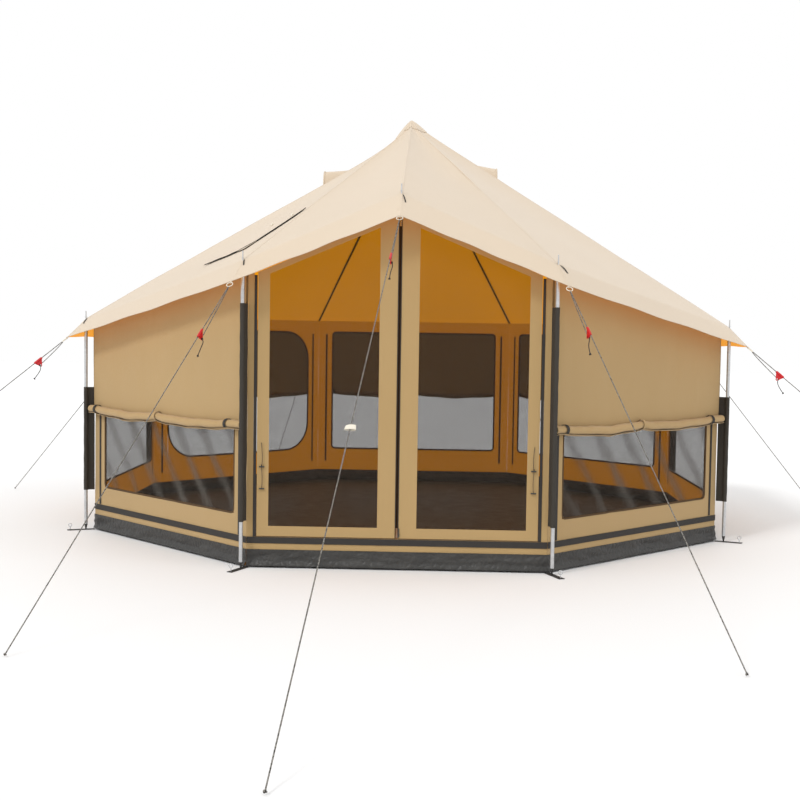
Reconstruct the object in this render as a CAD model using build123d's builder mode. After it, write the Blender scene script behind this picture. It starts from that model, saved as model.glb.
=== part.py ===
from build123d import *
import os
from math import cos, radians, sin

# Eight-sided bell tent with a raised front, roll-up window walls and a gabled double door.
# Millimetres, +Z up. The origin is the middle of the groundsheet's underside, and the door
# faces -Y. Sewn panels are modelled flat and are kept a seam's width apart.

os.makedirs("parts", exist_ok=True)

# ---- Plan ----------------------------------------------------------------------------------
CORNER_R = 2500.0                      # tent axis to a wall corner
HALF_ANGLE = 22.5                      # half of one wall's share of the plan
WALL_IN = CORNER_R * cos(radians(HALF_ANGLE))
HALF_WALL = CORNER_R * sin(radians(HALF_ANGLE))
WALL_T = 4.0                           # canvas boards of the walls
WALL_OUT = WALL_IN + WALL_T
SEAM = 0.5                             # gap left at every sewn joint
CLOTH_GAP = 2.0                        # air between one cloth layer and the next

# ---- Roof ----------------------------------------------------------------------------------
PEAK_Z = 3216.0
ROOF_T = 5.0
POLE_R = 2570.0                        # tent axis to a corner pole
TIP_R = 2705.0                         # tent axis to an eave tip
EAVE_Z, EAVE_TIP_Z = 1577.0, 1440.0    # roof over an ordinary pole, and at its tip
FRONT_Z, FRONT_TIP_Z = 1948.0, 1811.0  # the same at the two front corners
APEX_R, APEX_Z = 2250.0, 2390.0        # roof over the door pole
APEX_TIP_R, APEX_TIP_Z = 2500.0, 2225.0
PEAK_HOLE_R = 60.0
CAP_R, CAP_HOLE_R, CAP_T = 110.0, 10.0, 4.0
CAP_BOSS_R, CAP_BOSS_H = 26.0, 5.0

# ---- Poles ---------------------------------------------------------------------------------
POLE_D = 25.0
SLEEVE_T = 2.0
SPIKE_D, SPIKE_UP = 8.0, 60.0
SPIKE_HOLE_R, SPIKE_HOLE_H = SPIKE_D / 2 + 2.0, 80.0
FOOT_H = 40.0
CENTRE_LOWER_D, CENTRE_UPPER_D, CENTRE_TUBE_T = 38.0, 34.0, 1.8
CENTRE_JOINT_Z = 1600.0

# ---- Walls ---------------------------------------------------------------------------------
TUB_Z = 114.0                          # top of the groundsheet's upturned edge
FLOOR_T = 3.0
BAND_LOW, BAND_HIGH = 155.0, 196.0     # black webbing near the foot of each wall
ZIP_LOW = 200.0                        # foot of the upright zips
TRIM_T = 2.0
WINDOW_LOW, WINDOW_HIGH = 330.0, 1500.0
WINDOW_HALF = 816.0
MESH_T = 2.0
ZIP_AT, ZIP_W = 877.0, 20.0            # upright zips beside each window
FLAP_T = 3.0
ROLL_D, ROLL_Z = 62.0, 910.0
ROLL_HALF = HALF_WALL - 5.0
FLAP_LOW = ROLL_Z + 20.0               # where the hanging cloth goes into the roll

# ---- Door ----------------------------------------------------------------------------------
SILL_Z = 197.0
HINGE_X = 896.0
HINGE_CLEAR = 1.0
SIDE_ZIP_IN, SIDE_ZIP_OUT = HINGE_X + 3.0, HINGE_X + 21.0
SIDE_ZIP_TOP = 1860.0
POST_IN = HINGE_X + 22.0
HEAD_GAP = 6.0                         # between a leaf's top edge and the frame
DOOR_MESH_LOW = 267.0
DOOR_MESH_OUT, DOOR_MESH_IN = 820.0, 125.0
LEAF_FREE_X, TAPE_FREE_X = 12.0, 6.5
LEAF_SLOPE = 0.426                     # rise of the leaf's top edge towards the middle
LEAF_TOP_AT_MESH = 1910.0              # height of that edge above the mesh's outer side
TOP_RAIL = 40.0
LEAF_LOW = SILL_Z + 5.0
HEAD_BEND_X, HEAD_APEX_Z = 470.0, 2338.0   # the frame's top bends down under the overhang

# ---- Guy ropes -----------------------------------------------------------------------------
ROPE_D = 6.0
KNOT_D, KNOT_Z = 16.0, 12.0
RING_R, RING_WIRE = 20.0, 5.0
RING_REACH = 25.0                      # eave tip to ring centre
ROPE_START = RING_R + RING_WIRE / 2 + 2.0
RUNNER_LONG, RUNNER_REACH, RUNNER_T = 80.0, 55.0, 6.0
RUNNER_EDGE, RUNNER_TIP_X, RUNNER_ROUND = 9.0, 8.0, 7.0   # long side's offset, third corner
RUNNER_EYE_X, RUNNER_EYE_IN, RUNNER_EYE_R = 6.0, 19.0, 4.5
BARREL_SHORT, BARREL_WALL, BARREL_CLEAR = 12.0, 4.0, 1.0

# Ridges in order round the tent: angle, pole radius, roof height there, tip radius and height.
APEX = (-90.0, APEX_R, APEX_Z, APEX_TIP_R, APEX_TIP_Z)
FRONT_RIDGES = [(a, POLE_R, FRONT_Z, TIP_R, FRONT_TIP_Z) for a in (-67.5, -112.5)]
PLAIN_RIDGES = [(-22.5 + 45.0 * i, POLE_R, EAVE_Z, TIP_R, EAVE_TIP_Z) for i in range(6)]
RIDGES = [APEX, FRONT_RIDGES[0], *PLAIN_RIDGES, FRONT_RIDGES[1]]
FRONT_RIGHT, RIGHT, RIGHT_BACK, REAR_RIGHT, REAR_LEFT, LEFT_BACK, LEFT, FRONT_LEFT = RIDGES[1:]

# Walls, by the direction they face. The door wall is made apart from the other seven.
WALLS = {"front_right": -45.0, "right": 0.0, "rear_right": 45.0, "rear": 90.0,
         "rear_left": 135.0, "left": 180.0, "front_left": 225.0}
DOOR_FACES = -90.0


def polar(radius, angle, height=0.0):
    """A point by its distance from the tent's axis, its direction and its height."""
    return Vector(radius * cos(radians(angle)), radius * sin(radians(angle)), height)


def radial_plane(angle, offset=0.0):
    """The upright plane through the axis: local x runs outwards, local y up."""
    outward = polar(1, angle)
    across = Vector(outward.Y, -outward.X, 0)
    return Plane(origin=across * -offset, x_dir=outward, z_dir=across)


def wall_plane(angle, depth):
    """The upright plane of a wall: local x runs along it, local y up, z outwards."""
    return Plane(origin=polar(depth, angle), x_dir=polar(1, angle + 90), z_dir=polar(1, angle))


def facet(first, second, x, y):
    """Height of the roof's flat facet between two ridges, over the point x, y."""
    a, b = polar(first[1], first[0]), polar(second[1], second[0])
    drop_a, drop_b = first[2] - PEAK_Z, second[2] - PEAK_Z
    det = a.X * b.Y - b.X * a.Y
    return PEAK_Z + ((drop_a * b.Y - drop_b * a.Y) * x + (a.X * drop_b - b.X * drop_a) * y) / det


def ceiling(angle, along, depth=WALL_OUT):
    """Height of the roof's underside above a point of a wall."""
    spot = polar(depth, angle) + polar(along, angle + 90)
    if angle == DOOR_FACES:
        pair = (APEX, FRONT_RIGHT) if along > 0 else (FRONT_LEFT, APEX)
    else:
        before = next(r for r in RIDGES if abs((r[0] - angle + HALF_ANGLE) % 360) < 1)
        after = next(r for r in RIDGES if abs((r[0] - angle - HALF_ANGLE) % 360) < 1)
        pair = (before, after)
    return facet(*pair, spot.X, spot.Y) - ROOF_T


def board(plane, corners, thickness):
    """A flat cloth panel: its corners on the plane, thickened along the plane's normal."""
    with BuildSketch(plane) as panel:
        with BuildLine():
            Polyline(*corners, close=True)
        make_face()
    extrude(panel.sketch, amount=thickness)


def strip(plane, x0, x1, z0, z1, thickness):
    """A rectangular cloth panel on an upright plane."""
    board(plane, [(x0, z0), (x1, z0), (x1, z1), (x0, z1)], thickness)


def sheet(corners, thickness, way):
    """A flat panel through corners in space, thickened the way given."""
    extrude(Face(Wire.make_polygon(corners)), amount=thickness, dir=way)


def finish(part, name):
    """Label a sub-part and write it."""
    part.label = name
    export_step(part, f"parts/{name}.step")


def neighbours():
    """Each pair of ridges side by side."""
    return list(zip(RIDGES, RIDGES[1:] + RIDGES[:1]))


# ==== Groundsheet ===========================================================================
with BuildPart() as groundsheet_floor:
    with BuildSketch():
        RegularPolygon(CORNER_R, 8, rotation=HALF_ANGLE)
    extrude(amount=FLOOR_T)
finish(groundsheet_floor.part, "groundsheet_floor")

with BuildPart() as groundsheet_wall:
    for angle in [DOOR_FACES, *WALLS.values()]:
        strip(wall_plane(angle, WALL_IN), -HALF_WALL + SEAM, HALF_WALL - SEAM,
              FLOOR_T + SEAM, TUB_Z, WALL_T)
finish(groundsheet_wall.part, "groundsheet_wall")

# ==== Walls =================================================================================
WALL_LOW = TUB_Z + SEAM
EDGE = HALF_WALL - SEAM


def wall_top(angle, along, depth=WALL_OUT):
    """Top of a wall layer, just under the roof."""
    return ceiling(angle, along, depth) - CLOTH_GAP


with BuildPart() as wall_skirt:
    for angle in WALLS.values():
        face = wall_plane(angle, WALL_IN)
        strip(face, -EDGE, EDGE, WALL_LOW, WINDOW_LOW - SEAM, WALL_T)
        for side in (-1, 1):
            outer, inner = side * EDGE, side * (WINDOW_HALF + SEAM)
            corners = [(outer, WINDOW_LOW), (inner, WINDOW_LOW),
                       (inner, wall_top(angle, inner)), (outer, wall_top(angle, outer))]
            board(face, corners, WALL_T)
        corners = [(-WINDOW_HALF, WINDOW_HIGH + SEAM), (WINDOW_HALF, WINDOW_HIGH + SEAM),
                   (WINDOW_HALF, wall_top(angle, WINDOW_HALF)),
                   (-WINDOW_HALF, wall_top(angle, -WINDOW_HALF))]
        board(face, corners, WALL_T)
finish(wall_skirt.part, "wall_skirt")

with BuildPart() as window_meshes:
    for angle in WALLS.values():
        strip(wall_plane(angle, WALL_IN + (WALL_T - MESH_T) / 2), -WINDOW_HALF, WINDOW_HALF,
              WINDOW_LOW, WINDOW_HIGH, MESH_T)
finish(window_meshes.part, "window_meshes")

with BuildPart() as base_bands:
    for angle in [DOOR_FACES, *WALLS.values()]:
        strip(wall_plane(angle, WALL_OUT), -EDGE, EDGE, BAND_LOW, BAND_HIGH, TRIM_T)
finish(base_bands.part, "base_bands")

with BuildPart() as zip_tapes:
    for angle in WALLS.values():
        for side in (-1, 1):
            strip(wall_plane(angle, WALL_OUT), side * ZIP_AT - ZIP_W / 2, side * ZIP_AT + ZIP_W / 2,
                  ZIP_LOW, WINDOW_HIGH, TRIM_T)
    for side in (-1, 1):
        edges = sorted((side * SIDE_ZIP_IN, side * SIDE_ZIP_OUT))
        strip(wall_plane(DOOR_FACES, WALL_IN), *edges, SILL_Z + SEAM, SIDE_ZIP_TOP, WALL_T)
finish(zip_tapes.part, "zip_tapes")

FLAP_AT = WALL_OUT + TRIM_T + 1.0      # apothem of the hanging covers
ROLL_AT = FLAP_AT + FLAP_T + SEAM + ROLL_D / 2

for name, angle in WALLS.items():
    with BuildPart() as wall_flap:
        corners = [(-ROLL_HALF, FLAP_LOW), (ROLL_HALF, FLAP_LOW),
                   (ROLL_HALF, wall_top(angle, ROLL_HALF, FLAP_AT + FLAP_T)),
                   (-ROLL_HALF, wall_top(angle, -ROLL_HALF, FLAP_AT + FLAP_T))]
        board(wall_plane(angle, FLAP_AT), corners, FLAP_T)
    finish(wall_flap.part, f"wall_flap_{name}")

    with BuildPart() as wall_roll:
        end = polar(ROLL_AT, angle, ROLL_Z) + polar(-ROLL_HALF, angle + 90)
        with BuildSketch(Plane(origin=end, z_dir=polar(1, angle + 90))):
            Circle(ROLL_D / 2)
        extrude(amount=2 * ROLL_HALF)
    finish(wall_roll.part, f"wall_roll_{name}")

# ==== Door ==================================================================================
door_face = wall_plane(DOOR_FACES, WALL_IN)


def leaf_top(x):
    """Sloping top edge of a door leaf."""
    return LEAF_TOP_AT_MESH + LEAF_SLOPE * (DOOR_MESH_OUT - abs(x))


def door_top(x):
    """Top edge of the door's frame, just under the roof."""
    return wall_top(DOOR_FACES, x)


with BuildPart() as door_wall_frame:
    strip(door_face, -EDGE, EDGE, WALL_LOW, SILL_Z, WALL_T)
    for side in (-1, 1):
        post_in, post_out = side * POST_IN, side * EDGE
        corners = [(post_in, SILL_Z + SEAM), (post_out, SILL_Z + SEAM),
                   (post_out, door_top(post_out)), (post_in, door_top(post_in))]
        board(door_face, corners, WALL_T)
        head_in, head_out = side * SEAM, side * SIDE_ZIP_OUT
        bend = side * HEAD_BEND_X
        corners = [(head_in, leaf_top(head_in) + HEAD_GAP), (head_out, leaf_top(head_out) + HEAD_GAP),
                   (head_out, door_top(head_out)), (bend, door_top(bend)), (head_in, HEAD_APEX_Z)]
        board(door_face, corners, WALL_T)
finish(door_wall_frame.part, "door_wall_frame")

for name, side in (("left", -1), ("right", 1)):
    hinge_edge, free_edge = side * (HINGE_X - HINGE_CLEAR), side * LEAF_FREE_X
    mesh_out, mesh_in = side * DOOR_MESH_OUT, side * DOOR_MESH_IN
    with BuildPart() as door_leaf:
        strip(door_face, *sorted((hinge_edge, free_edge)), LEAF_LOW, DOOR_MESH_LOW, WALL_T)
        for outer, inner in ((hinge_edge, mesh_out + side * SEAM), (mesh_in - side * SEAM, free_edge)):
            corners = [(outer, DOOR_MESH_LOW + SEAM), (inner, DOOR_MESH_LOW + SEAM),
                       (inner, leaf_top(inner)), (outer, leaf_top(outer))]
            board(door_face, corners, WALL_T)
        corners = [(mesh_out, leaf_top(mesh_out) - TOP_RAIL + SEAM),
                   (mesh_in, leaf_top(mesh_in) - TOP_RAIL + SEAM),
                   (mesh_in, leaf_top(mesh_in)), (mesh_out, leaf_top(mesh_out))]
        board(door_face, corners, WALL_T)
    finish(door_leaf.part, f"door_leaf_{name}")

    with BuildPart() as door_mesh:
        corners = [(mesh_out, DOOR_MESH_LOW + SEAM), (mesh_in, DOOR_MESH_LOW + SEAM),
                   (mesh_in, leaf_top(mesh_in) - TOP_RAIL), (mesh_out, leaf_top(mesh_out) - TOP_RAIL)]
        board(wall_plane(DOOR_FACES, WALL_IN + (WALL_T - MESH_T) / 2), corners, MESH_T)
    finish(door_mesh.part, f"door_mesh_{name}")

    with BuildPart() as door_zip:
        tape = sorted((side * TAPE_FREE_X, side * (LEAF_FREE_X - SEAM)))
        strip(door_face, *tape, LEAF_LOW, leaf_top(LEAF_FREE_X) - 4.0, WALL_T)
    finish(door_zip.part, f"door_zip_{name}")

SLIDER_X = TAPE_FREE_X + 6.0
SLIDER_W, SLIDER_H, SLIDER_T = 12.0, 24.0, 5.0
PULL_W, PULL_H, PULL_T = 8.0, 36.0, 2.0

with BuildPart() as door_zip_slider:
    slider_face = wall_plane(DOOR_FACES, WALL_OUT + SEAM)
    with BuildSketch(slider_face):
        with Locations((SLIDER_X, LEAF_LOW + 22.0)):
            RectangleRounded(SLIDER_W, SLIDER_H, 4.0)
    extrude(amount=SLIDER_T)
    with BuildSketch(slider_face.offset(1.0)):
        with Locations((SLIDER_X, LEAF_LOW + 48.0)):
            SlotOverall(PULL_H, PULL_W, rotation=90)
    extrude(amount=PULL_T)
finish(door_zip_slider.part, "door_zip_slider")

# ==== Roof ==================================================================================
def on_ridge(ridge, radius, height, side):
    """A point of a ridge, half a seam to one side of it."""
    return polar(radius, ridge[0], height) + polar(side * SEAM / 2, ridge[0] + 90)


def gore(first, second, inner, outer, lift, thickness):
    """A flat roof panel between two ridges, from one radius to another (None: to the poles)."""
    corners = []
    for ridge, side in ((first, 1), (second, -1)):
        spots = [on_ridge(ridge, radius, 0.0, side) for radius in (inner, outer or ridge[1] - SEAM)]
        points = [Vector(p.X, p.Y, facet(first, second, p.X, p.Y) + lift) for p in spots]
        corners += points if side > 0 else points[::-1]
    sheet(corners, thickness, (0, 0, 1))


def eave(first, second):
    """The overhang between two ridges, folded from the lower pole to the higher tip."""
    low, high, side = (first, second, 1) if first[2] <= second[2] else (second, first, -1)
    low_pole, low_tip = (on_ridge(low, *at, side) for at in (low[1:3], low[3:5]))
    high_pole, high_tip = (on_ridge(high, *at, -side) for at in (high[1:3], high[3:5]))
    sheet([low_pole, low_tip, high_tip], ROOF_T, (0, 0, -1))
    sheet([low_pole, high_tip, high_pole], ROOF_T, (0, 0, -1))


with BuildPart() as roof_canopy:
    for first, second in neighbours():
        gore(first, second, PEAK_HOLE_R, None, -ROOF_T, ROOF_T)
        eave(first, second)
    for angle, radius, height, *_ in RIDGES:
        with Locations(polar(radius, angle, height)):
            Cylinder(SPIKE_HOLE_R, SPIKE_HOLE_H, mode=Mode.SUBTRACT)
finish(roof_canopy.part, "roof_canopy")

with BuildPart() as peak_cap:
    for first, second in neighbours():
        gore(first, second, CAP_HOLE_R, CAP_R, SEAM, CAP_T)
    with Locations((0, 0, PEAK_Z + CAP_T)):
        Cylinder(CAP_BOSS_R, CAP_BOSS_H, align=(Align.CENTER, Align.CENTER, Align.MIN))
finish(peak_cap.part, "peak_cap")

# ---- Vent hoods on the two side facets -----------------------------------------------------
HOOD_TOP, HOOD_MOUTH = 420.0, 690.0    # distance from the tent's axis, along the facet
HOOD_HALF_TOP, HOOD_HALF_MOUTH = 100.0, 180.0
HOOD_RISE, HOOD_T, HOOD_LIFT = 85.0, 4.0, 1.0
HOOD_CHEEK_TOP = HOOD_TOP + 20.0
HOOD_FACETS = {0.0: (RIGHT, RIGHT_BACK), 180.0: (LEFT_BACK, LEFT)}


def on_side(direction, out, along, lift):
    """A point over one of the two side facets."""
    spot = polar(out, direction) + polar(along, direction + 90)
    return Vector(spot.X, spot.Y, facet(*HOOD_FACETS[direction], spot.X, spot.Y) + lift)


with BuildPart() as vent_hoods:
    for direction in HOOD_FACETS:
        sheet([on_side(direction, HOOD_TOP, -HOOD_HALF_TOP, HOOD_LIFT),
               on_side(direction, HOOD_TOP, HOOD_HALF_TOP, HOOD_LIFT),
               on_side(direction, HOOD_MOUTH, HOOD_HALF_MOUTH, HOOD_RISE),
               on_side(direction, HOOD_MOUTH, -HOOD_HALF_MOUTH, HOOD_RISE)], HOOD_T, (0, 0, 1))
        for side in (-1, 1):
            top, mouth = side * (HOOD_HALF_TOP - 1.0), side * (HOOD_HALF_MOUTH - 6.0)
            sheet([on_side(direction, HOOD_CHEEK_TOP, top, HOOD_LIFT),
                   on_side(direction, HOOD_MOUTH, mouth, HOOD_LIFT),
                   on_side(direction, HOOD_MOUTH, mouth, HOOD_RISE - SEAM)],
                  HOOD_T, polar(-side, direction + 90))
finish(vent_hoods.part, "vent_hoods")

# ---- Stove opening and its rain flap, on the facet over the front left wall ----------------
JACK_OUT, JACK_IN, JACK_NEAR, JACK_FAR = 2040.0, 1680.0, 600.0, 240.0
FLAP_OUT, FLAP_IN, FLAP_NEAR, FLAP_FAR = 2120.0, 1600.0, 640.0, 190.0
JACK_T, STOVE_FLAP_T = 2.0, 4.0
STOVE_FLAP_LIFT = 4.0


def on_front_left(out, along, lift):
    """A point over the front left facet."""
    spot = polar(out, 225.0) + polar(along, 315.0)
    return Vector(spot.X, spot.Y, facet(LEFT, FRONT_LEFT, spot.X, spot.Y) + lift)


def facet_plate(out, inner, near, far, lift, thickness):
    """A plate lying on the front left facet."""
    sheet([on_front_left(out, far, lift), on_front_left(out, near, lift),
           on_front_left(inner, near, lift), on_front_left(inner, far, lift)], thickness, (0, 0, 1))


with BuildPart() as stove_jack:
    facet_plate(JACK_OUT, JACK_IN, JACK_NEAR, JACK_FAR, 1.0, JACK_T)
finish(stove_jack.part, "stove_jack")

with BuildPart() as stove_flap:
    facet_plate(FLAP_OUT, FLAP_IN, FLAP_NEAR, FLAP_FAR, STOVE_FLAP_LIFT, STOVE_FLAP_T)
finish(stove_flap.part, "stove_flap")

# ==== Poles =================================================================================
POLE_LOW = FLOOR_T + SEAM + FOOT_H
TOP_GAP = 20.0                         # a pole's top stays this far under the roof's top
CENTRE_TOP = PEAK_Z - 35.0
CENTRE_OVERLAP, CENTRE_PLUG = 100.0, 15.0
WASHER_UP, WASHER_R, WASHER_T = 12.0, 10.0, 2.5
SPIKE_TIP_R = 1.5

with BuildPart() as centre_pole:
    for diameter, low, high in ((CENTRE_LOWER_D, FLOOR_T + SEAM, CENTRE_JOINT_Z),
                                (CENTRE_UPPER_D, CENTRE_JOINT_Z - CENTRE_OVERLAP, CENTRE_TOP)):
        with BuildSketch(Plane.XY.offset(low)):
            Circle(diameter / 2)
            Circle(diameter / 2 - CENTRE_TUBE_T, mode=Mode.SUBTRACT)
        extrude(amount=high - low)
    with Locations((0, 0, CENTRE_TOP)):
        Cylinder(CENTRE_UPPER_D / 2, CENTRE_PLUG, align=(Align.CENTER, Align.CENTER, Align.MIN))
finish(centre_pole.part, "centre_pole")

with BuildPart() as door_pole:
    with BuildSketch(Plane.XY.offset(FLOOR_T + SEAM)):
        with Locations((0, -APEX_R)):
            Circle(POLE_D / 2)
    extrude(amount=APEX_Z - TOP_GAP - FLOOR_T - SEAM)
finish(door_pole.part, "door_pole")

with BuildPart() as corner_poles:
    for angle, radius, height, *_ in RIDGES[1:]:
        with BuildSketch(Plane.XY.offset(POLE_LOW)):
            with Locations(polar(radius, angle)):
                Circle(POLE_D / 2)
        extrude(amount=height - TOP_GAP - POLE_LOW)
finish(corner_poles.part, "corner_poles")

with BuildPart() as pole_spikes:
    for angle, radius, height, *_ in RIDGES:
        with BuildSketch(radial_plane(angle)):
            with BuildLine():
                low, high, rod = height - TOP_GAP, height + SPIKE_UP, SPIKE_D / 2
                washer, rim = height + WASHER_UP, radius + WASHER_R
                Polyline((radius, low), (radius + rod, low), (radius + rod, washer),
                         (rim, washer), (rim, washer + WASHER_T),
                         (radius + rod, washer + WASHER_T), (radius + rod, high - rod),
                         (radius + SPIKE_TIP_R, high), (radius, high), close=True)
            make_face()
        revolve(axis=Axis(polar(radius, angle), (0, 0, 1)))
finish(pole_spikes.part, "pole_spikes")

with BuildPart() as pole_feet:
    for angle, radius, *_ in RIDGES[1:]:
        with Locations(polar(radius, angle, FLOOR_T + SEAM)):
            Cone(4.0, POLE_D / 2, FOOT_H - SEAM, align=(Align.CENTER, Align.CENTER, Align.MIN))
finish(pole_feet.part, "pole_feet")

SLEEVES = [(APEX, 260.0, 2180.0)]
SLEEVES += [(ridge, 300.0, 1680.0) for ridge in FRONT_RIDGES]
SLEEVES += [(ridge, 300.0, 1070.0) for ridge in PLAIN_RIDGES]
SLEEVE_BORE = POLE_D / 2 + 0.1
WEB_IN, WEB_OUT, WEB_T = CORNER_R + 7.0, POLE_R - POLE_D / 2, 3.0   # joins sleeve and wall

with BuildPart() as pole_sleeves:
    for (angle, radius, *_), low, high in SLEEVES:
        with BuildSketch(Plane.XY.offset(low)):
            with Locations(polar(radius, angle)):
                Circle(POLE_D / 2 + SLEEVE_T)
            if radius == POLE_R:
                with Locations(Location(polar((WEB_IN + WEB_OUT) / 2, angle), (0, 0, angle))):
                    Rectangle(WEB_OUT - WEB_IN, WEB_T)
            with Locations(polar(radius, angle)):
                Circle(SLEEVE_BORE, mode=Mode.SUBTRACT)
        extrude(amount=high - low)
finish(pole_sleeves.part, "pole_sleeves")

# ==== Base straps and their pegs ============================================================
STRAP_IN, STRAP_OUT, STRAP_W = CORNER_R + 8.0, 2705.0, 38.0
PEG_R, PEG_D, PEG_UP = 2685.0, 6.0, 24.0
EYE_R, EYE_WIRE = 12.0, 2.5

with BuildPart() as base_straps:
    for angle, *_ in RIDGES[1:]:
        with BuildSketch():
            with Locations(Location(polar((STRAP_IN + STRAP_OUT) / 2, angle), (0, 0, angle))):
                Rectangle(STRAP_OUT - STRAP_IN, STRAP_W)
        extrude(amount=FLOOR_T)
finish(base_straps.part, "base_straps")

with BuildPart() as ring_pegs:
    for angle, *_ in RIDGES[1:]:
        with Locations(polar(PEG_R, angle, FLOOR_T)):
            Cylinder(PEG_D / 2, PEG_UP, align=(Align.CENTER, Align.CENTER, Align.MIN))
        with Locations(Location(polar(PEG_R, angle, FLOOR_T + PEG_UP + EYE_R - 1.0), (90, 0, angle))):
            Torus(EYE_R, EYE_WIRE)
finish(ring_pegs.part, "ring_pegs")

# ==== Guy ropes, their rings and runners ====================================================
# Each rope: its ridge, its knot on the ground, and how far its runner sits from the ring.
GUYS = {"front": (APEX, (-295.0, -6142.0), 500.0),
        "front_left": (FRONT_LEFT, (-1717.0, -4557.0), 470.0),
        "front_right": (FRONT_RIGHT, (1648.0, -4608.0), 405.0),
        "left": (LEFT, (-4050.0, -1850.0), 245.0),
        "right": (RIGHT, (4050.0, -1850.0), 275.0),
        "left_back": (LEFT_BACK, (-3665.0, 1190.0), 260.0),
        "right_back": (RIGHT_BACK, (3665.0, 1190.0), 260.0),
        "rear_left": (REAR_LEFT, (-1590.0, 3840.0), 260.0),
        "rear_right": (REAR_RIGHT, (1590.0, 3840.0), 260.0)}


def guy_line(ridge, ground):
    """The ring's centre, the knot's centre and the direction from one to the other."""
    tip = polar(ridge[3], ridge[0], ridge[4] - ROOF_T)
    knot = Vector(ground[0], ground[1], KNOT_Z)
    ring = tip + (knot - tip).normalized() * RING_REACH
    return ring, knot, (knot - ring).normalized()


def line_plane(origin, way):
    """The upright plane of a rope: local x runs down the rope, local y in towards the tent."""
    side = Vector(way.Y, -way.X, 0).normalized()
    return Plane(origin=origin, x_dir=way, z_dir=side)


with BuildPart() as eave_rings:
    for ridge, ground, _ in GUYS.values():
        ring, knot, way = guy_line(ridge, ground)
        level = Vector(-way.Y, way.X, 0).normalized()
        with Locations(Plane(origin=ring, x_dir=way, z_dir=way.cross(level)).location):
            Torus(RING_R, RING_WIRE / 2)
finish(eave_rings.part, "eave_rings")

for name, (ridge, ground, runner_at) in GUYS.items():
    ring, knot, way = guy_line(ridge, ground)
    start = ring + way * ROPE_START
    length, thin, fat = (knot - start).length, ROPE_D / 2, KNOT_D / 2
    with BuildPart() as guy_rope:
        with BuildSketch(line_plane(start, way)):
            with BuildLine():
                Polyline((0, 0), (0, thin), (length - fat, thin), (length - fat, fat),
                         (length + fat, fat), (length + fat, 0), close=True)
            make_face()
        revolve(axis=Axis(start, way))
    finish(guy_rope.part, f"guy_rope_{name}")

    middle, half = ring + way * runner_at, RUNNER_LONG / 2
    flat = line_plane(middle, way)
    inward = 1 if flat.y_dir.Z < 0 else -1
    barrel_half = half - BARREL_SHORT / 2
    with BuildPart() as guy_runner:
        with BuildSketch(flat.offset(-RUNNER_T / 2)):
            with BuildLine():
                Polyline((-half, -RUNNER_EDGE * inward), (half, -RUNNER_EDGE * inward),
                         (RUNNER_TIP_X, RUNNER_REACH * inward), close=True)
            make_face()
            fillet(vertices(), RUNNER_ROUND)
            with Locations((RUNNER_EYE_X, (RUNNER_REACH - RUNNER_EYE_IN) * inward)):
                Circle(RUNNER_EYE_R, mode=Mode.SUBTRACT)
        extrude(amount=RUNNER_T)
        with BuildSketch(Plane(origin=middle - way * barrel_half, z_dir=way)):
            Circle(ROPE_D / 2 + BARREL_WALL)
        extrude(amount=2 * barrel_half)
        with BuildSketch(Plane(origin=middle - way * half, z_dir=way)):
            Circle(ROPE_D / 2 + BARREL_CLEAR)
        extrude(amount=2 * half, mode=Mode.SUBTRACT)
    finish(guy_runner.part, f"guy_tensioner_{name}")
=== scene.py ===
"""Looks for an eight-sided bell tent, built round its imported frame. Metres, +Z up, door towards -Y."""

import math

import bpy
from mathutils import Matrix, Vector, noise


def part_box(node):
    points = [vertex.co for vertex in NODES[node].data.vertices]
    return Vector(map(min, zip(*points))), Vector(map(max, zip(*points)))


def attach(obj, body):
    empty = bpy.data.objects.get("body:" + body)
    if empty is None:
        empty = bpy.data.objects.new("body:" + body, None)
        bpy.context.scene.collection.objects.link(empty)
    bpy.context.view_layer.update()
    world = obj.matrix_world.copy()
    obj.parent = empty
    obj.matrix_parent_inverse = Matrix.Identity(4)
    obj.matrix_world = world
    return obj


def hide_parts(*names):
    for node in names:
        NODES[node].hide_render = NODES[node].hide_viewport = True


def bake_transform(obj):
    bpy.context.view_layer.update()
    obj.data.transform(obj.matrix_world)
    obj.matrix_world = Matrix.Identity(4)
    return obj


bl_info = {
    "name": "Bell Tent Canvas",
    "version": (1, 0, 0),
    "blender": (4, 5, 0),
    "location": "View3D > Sidebar > Tent",
    "description": "Sews the canvas, netting, ropes and fittings of a bell tent on its frame",
    "category": "Add Mesh",
}

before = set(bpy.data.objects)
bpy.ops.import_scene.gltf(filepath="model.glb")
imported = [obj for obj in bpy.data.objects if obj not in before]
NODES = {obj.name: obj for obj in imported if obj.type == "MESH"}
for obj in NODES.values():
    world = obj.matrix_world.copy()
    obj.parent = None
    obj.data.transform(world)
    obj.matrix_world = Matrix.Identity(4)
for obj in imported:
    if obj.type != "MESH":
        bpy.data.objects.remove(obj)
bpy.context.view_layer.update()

ZIP_OUT = 0.877        # a wall zip from the middle of its wall
ROLL_TURNS = 2.7       # turns of cloth in a rolled cover

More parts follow.
